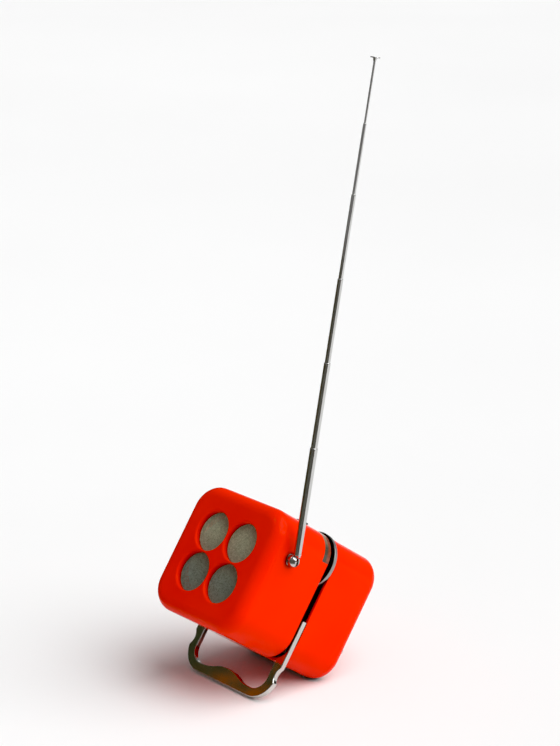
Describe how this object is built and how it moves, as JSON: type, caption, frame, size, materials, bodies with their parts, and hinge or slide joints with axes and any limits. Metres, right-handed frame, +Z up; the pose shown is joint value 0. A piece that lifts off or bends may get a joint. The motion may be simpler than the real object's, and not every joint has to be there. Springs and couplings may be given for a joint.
{
  "type": "portable cube radio receiver",
  "caption": "Cube-shaped portable receiver with round speaker grilles, corner thumb wheels, telescopic antenna and a slide-out carrying handle it leans back on.",
  "frame": {"origin": "middle of the bounding box's floor, with the case leaning back on its pulled-out handle", "axes": "+Z up, -Y towards the side that the loudspeaker face looks to, +X to the right seen from there"},
  "size_m": [0.1561, 0.2042, 0.6546],
  "materials": {
    "case_red": "glossy orange-red moulded plastic",
    "frame_black": "matt black moulded plastic",
    "grille_metal": "fine woven metal cloth, dull nickel",
    "handle_metal": "mirror-polished, with small rounded edges",
    "wheel_metal": "satin turned rim",
    "window_acrylic": "clear smoked acrylic",
    "scale_print": "printed dial strip",
    "button_black": "satin black",
    "antenna_chrome": "polished chrome plate",
    "inner_black": "black moulded plastic",
    "screw_steel": "zinc-plated steel",
    "speaker_steel": "pressed steel, grey paint",
    "speaker_paper": "pressed paper cone",
    "magnet_dark": "dark ferrite and steel",
    "board_brown": "resin-bonded paper board",
    "can_aluminium": "drawn aluminium",
    "component_blue": "sleeved components",
    "ferrite_dark": "sintered ferrite",
    "coil_copper": "wound copper wire",
    "cell_jacket": "plain wrapped jacket",
    "socket_metal": "plated ring"
  },
  "bodies": {
    "case": {"front_shell": "case_red", "rear_shell": "case_red", "middle_frame": "frame_black", "grille_mesh_upper_left": "grille_metal", "grille_mesh_upper_right": "grille_metal", "grille_mesh_lower_left": "grille_metal", "grille_mesh_lower_right": "grille_metal", "dial_window": "window_acrylic", "speaker_baffle": "inner_black", "switch_block": "inner_black", "battery_tray": "inner_black", "ferrite_holders": "inner_black", "volume_control": "inner_black", "speaker_screws": "screw_steel", "baffle_screws": "screw_steel", "board_screws": "screw_steel", "rear_case_screws": "screw_steel", "front_case_screws": "screw_steel", "handle_springs": "screw_steel", "battery_contacts": "screw_steel", "antenna_bush": "screw_steel", "speaker_basket": "speaker_steel", "speaker_cone": "speaker_paper", "speaker_dust_cap": "speaker_paper", "speaker_magnet": "magnet_dark", "circuit_board": "board_brown", "coil_cans": "can_aluminium", "tuning_capacitor": "can_aluminium", "smoothing_capacitors": "component_blue", "transistors": "component_blue", "ferrite_rod": "ferrite_dark", "ferrite_coil": "coil_copper", "battery_cells_lower": "cell_jacket", "battery_cells_middle": "cell_jacket", "battery_cells_upper": "cell_jacket", "earphone_socket": "socket_metal"},
    "handle": {"handle": "handle_metal", "handle_edge_screws": "screw_steel"},
    "tuning": {"tuning_wheel": "wheel_metal", "tuning_spindle": "screw_steel", "dial_drum": "inner_black", "dial_scale": "scale_print"},
    "volume": {"volume_wheel": "wheel_metal", "volume_spindle": "screw_steel"},
    "button_left": {"push_button_left": "button_black"},
    "button_middle": {"push_button_middle": "button_black"},
    "button_right": {"push_button_right": "button_black"},
    "battery_lid": {"battery_door": "case_red"},
    "antenna_base": {"antenna_swivel": "antenna_chrome", "antenna_nut": "antenna_chrome", "antenna_pivot_screw": "antenna_chrome"},
    "antenna_arm": {"antenna_tang": "antenna_chrome", "antenna_stage_1": "antenna_chrome"},
    "antenna_two": {"antenna_stage_2": "antenna_chrome"},
    "antenna_three": {"antenna_stage_3": "antenna_chrome"},
    "antenna_four": {"antenna_stage_4": "antenna_chrome"},
    "antenna_five": {"antenna_stage_5": "antenna_chrome"},
    "antenna_six": {"antenna_stage_6": "antenna_chrome", "antenna_cap": "antenna_chrome"}
  },
  "joints": [
    {"name": "handle_slide", "type": "slide", "parent": "case", "child": "handle", "axis": [0, 0.5615, 0.8275], "range_m": [0, 0.0441]},
    {"name": "tuning_turn", "type": "hinge", "parent": "case", "child": "tuning", "pos_m": [0.03415, 0.02751, 0.12894], "axis": [0, 0.8275, -0.5615], "range_deg": [-90, 90]},
    {"name": "volume_turn", "type": "hinge", "parent": "case", "child": "volume", "pos_m": [-0.04645, 0.02751, 0.12894], "axis": [0, 0.8275, -0.5615], "range_deg": [0, 270]},
    {"name": "button_left_press", "type": "slide", "parent": "case", "child": "button_left", "axis": [0, -0.5615, -0.8275], "range_m": [0, 0.003], "stiffness_N_per_m": 400, "springref_m": -0.002},
    {"name": "button_middle_press", "type": "slide", "parent": "case", "child": "button_middle", "axis": [0, -0.5615, -0.8275], "range_m": [0, 0.003], "stiffness_N_per_m": 400, "springref_m": -0.002},
    {"name": "button_right_press", "type": "slide", "parent": "case", "child": "button_right", "axis": [0, -0.5615, -0.8275], "range_m": [0, 0.003], "stiffness_N_per_m": 400, "springref_m": -0.002},
    {"name": "battery_door_swing", "type": "hinge", "parent": "case", "child": "battery_lid", "pos_m": [-0.00615, 0.0371, 0.00968], "axis": [-1, 0, 0], "range_deg": [0, 90]},
    {"name": "antenna_swivel_turn", "type": "hinge", "parent": "case", "child": "antenna_base", "pos_m": [0.06845, -0.02722, 0.15158], "axis": [1, 0, 0], "range_deg": [-113.15, 60]},
    {"name": "antenna_tilt", "type": "hinge", "parent": "antenna_base", "child": "antenna_arm", "pos_m": [0.06845, -0.02722, 0.15158], "axis": [0, 0.9816, -0.191], "range_deg": [0, 90]},
    {"name": "antenna_stage_2_slide", "type": "slide", "parent": "antenna_arm", "child": "antenna_two", "axis": [0, -0.191, -0.9816], "range_m": [0, 0.0854]},
    {"name": "antenna_stage_3_slide", "type": "slide", "parent": "antenna_two", "child": "antenna_three", "axis": [0, -0.191, -0.9816], "range_m": [0, 0.0833]},
    {"name": "antenna_stage_4_slide", "type": "slide", "parent": "antenna_three", "child": "antenna_four", "axis": [0, -0.191, -0.9816], "range_m": [0, 0.0824]},
    {"name": "antenna_stage_5_slide", "type": "slide", "parent": "antenna_four", "child": "antenna_five", "axis": [0, -0.191, -0.9816], "range_m": [0, 0.0685]},
    {"name": "antenna_stage_6_slide", "type": "slide", "parent": "antenna_five", "child": "antenna_six", "axis": [0, -0.191, -0.9816], "range_m": [0, 0.0608]}
  ]
}
